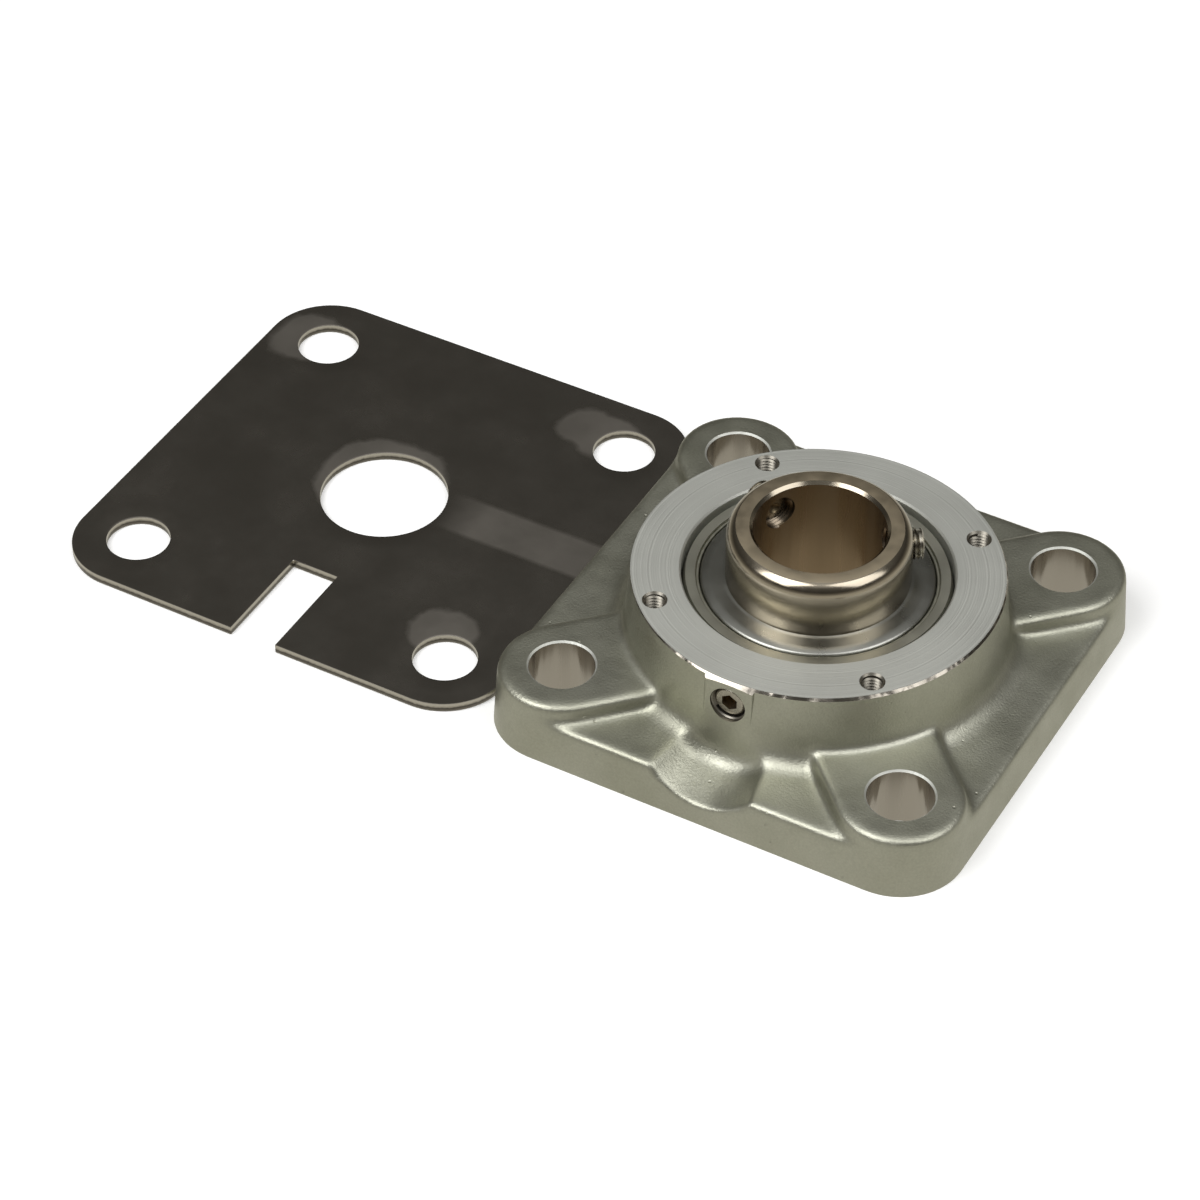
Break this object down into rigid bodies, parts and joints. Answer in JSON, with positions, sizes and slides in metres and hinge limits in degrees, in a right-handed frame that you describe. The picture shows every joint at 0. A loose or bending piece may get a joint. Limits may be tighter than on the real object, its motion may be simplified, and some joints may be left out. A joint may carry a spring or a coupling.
{
  "type": "flange mount bearing",
  "caption": "Square flange bearing with a set-screw insert that can tilt in its cast housing, a machined cover face and a loose notched backing plate.",
  "frame": {"origin": "bore axis in the plane of the housing's base, at the centre of the four bolt holes", "axes": "+Z along the bore axis out of the machined face; -Y towards the grease plug; the backing plate lies beside -X"},
  "size_m": [0.1923, 0.0972, 0.0354],
  "materials": {
    "cast_stainless": "blasted investment casting with machined face",
    "ring_steel": "ground and polished",
    "flinger_steel": "polished pressing",
    "shield_steel": "rolled sheet",
    "screw_steel": "turned",
    "plug_steel": "turned",
    "ball_steel": "polished",
    "cage_steel": "pressed sheet",
    "seal_rubber": "moulded",
    "plate_steel": "dark rolled sheet with sheared edges"
  },
  "bodies": {
    "housing": {"housing": "cast_stainless"},
    "outer_ring": {"outer_ring": "ring_steel", "front_seal_shield": "shield_steel", "front_seal_lip": "seal_rubber", "rear_seal_shield": "shield_steel", "rear_seal_lip": "seal_rubber"},
    "inner_ring": {"inner_ring": "ring_steel", "front_flinger": "flinger_steel", "rear_flinger": "flinger_steel"},
    "ball_cage": {"ball_1": "ball_steel", "ball_2": "ball_steel", "ball_3": "ball_steel", "ball_4": "ball_steel", "ball_5": "ball_steel", "ball_6": "ball_steel", "ball_7": "ball_steel", "ball_8": "ball_steel", "ball_9": "ball_steel", "cage_front_half": "cage_steel", "cage_rear_half": "cage_steel", "cage_rivets": "cage_steel"},
    "set_screw_1": {"set_screw_1": "screw_steel"},
    "set_screw_2": {"set_screw_2": "screw_steel"},
    "grease_plug": {"grease_plug": "plug_steel"},
    "backing_plate": {"backing_plate": "plate_steel"}
  },
  "joints": [
    {"name": "insert_tilt", "type": "hinge", "parent": "housing", "child": "outer_ring", "pos_m": [0, 0, 0.0156], "axis": [1, 0, 0], "range_deg": [-2, 2]},
    {"name": "inner_spin", "type": "hinge", "parent": "outer_ring", "child": "inner_ring", "pos_m": [0, 0, 0.0156], "axis": [0, 0, 1], "continuous": true},
    {"name": "cage_spin", "type": "hinge", "parent": "outer_ring", "child": "ball_cage", "pos_m": [0, 0, 0.0156], "axis": [0, 0, 1], "continuous": true},
    {"name": "set_screw_1_travel", "type": "slide", "parent": "inner_ring", "child": "set_screw_1", "axis": [0.8988, -0.4384, 0], "range_m": [-0.001, 0.0015]},
    {"name": "set_screw_2_travel", "type": "slide", "parent": "inner_ring", "child": "set_screw_2", "axis": [-0.829, -0.5592, 0], "range_m": [-0.001, 0.0015]},
    {"name": "grease_plug_travel", "type": "slide", "parent": "housing", "child": "grease_plug", "axis": [0, -1, 0], "range_m": [0, 0.006]},
    {"name": "backing_plate_lift", "type": "slide", "parent": "housing", "child": "backing_plate", "axis": [0, 0, 1], "range_m": [0, 0.06]}
  ],
  "couplings": [
    {"joint": "cage_spin", "follows": "inner_spin", "ratio": 0.3969}
  ]
}
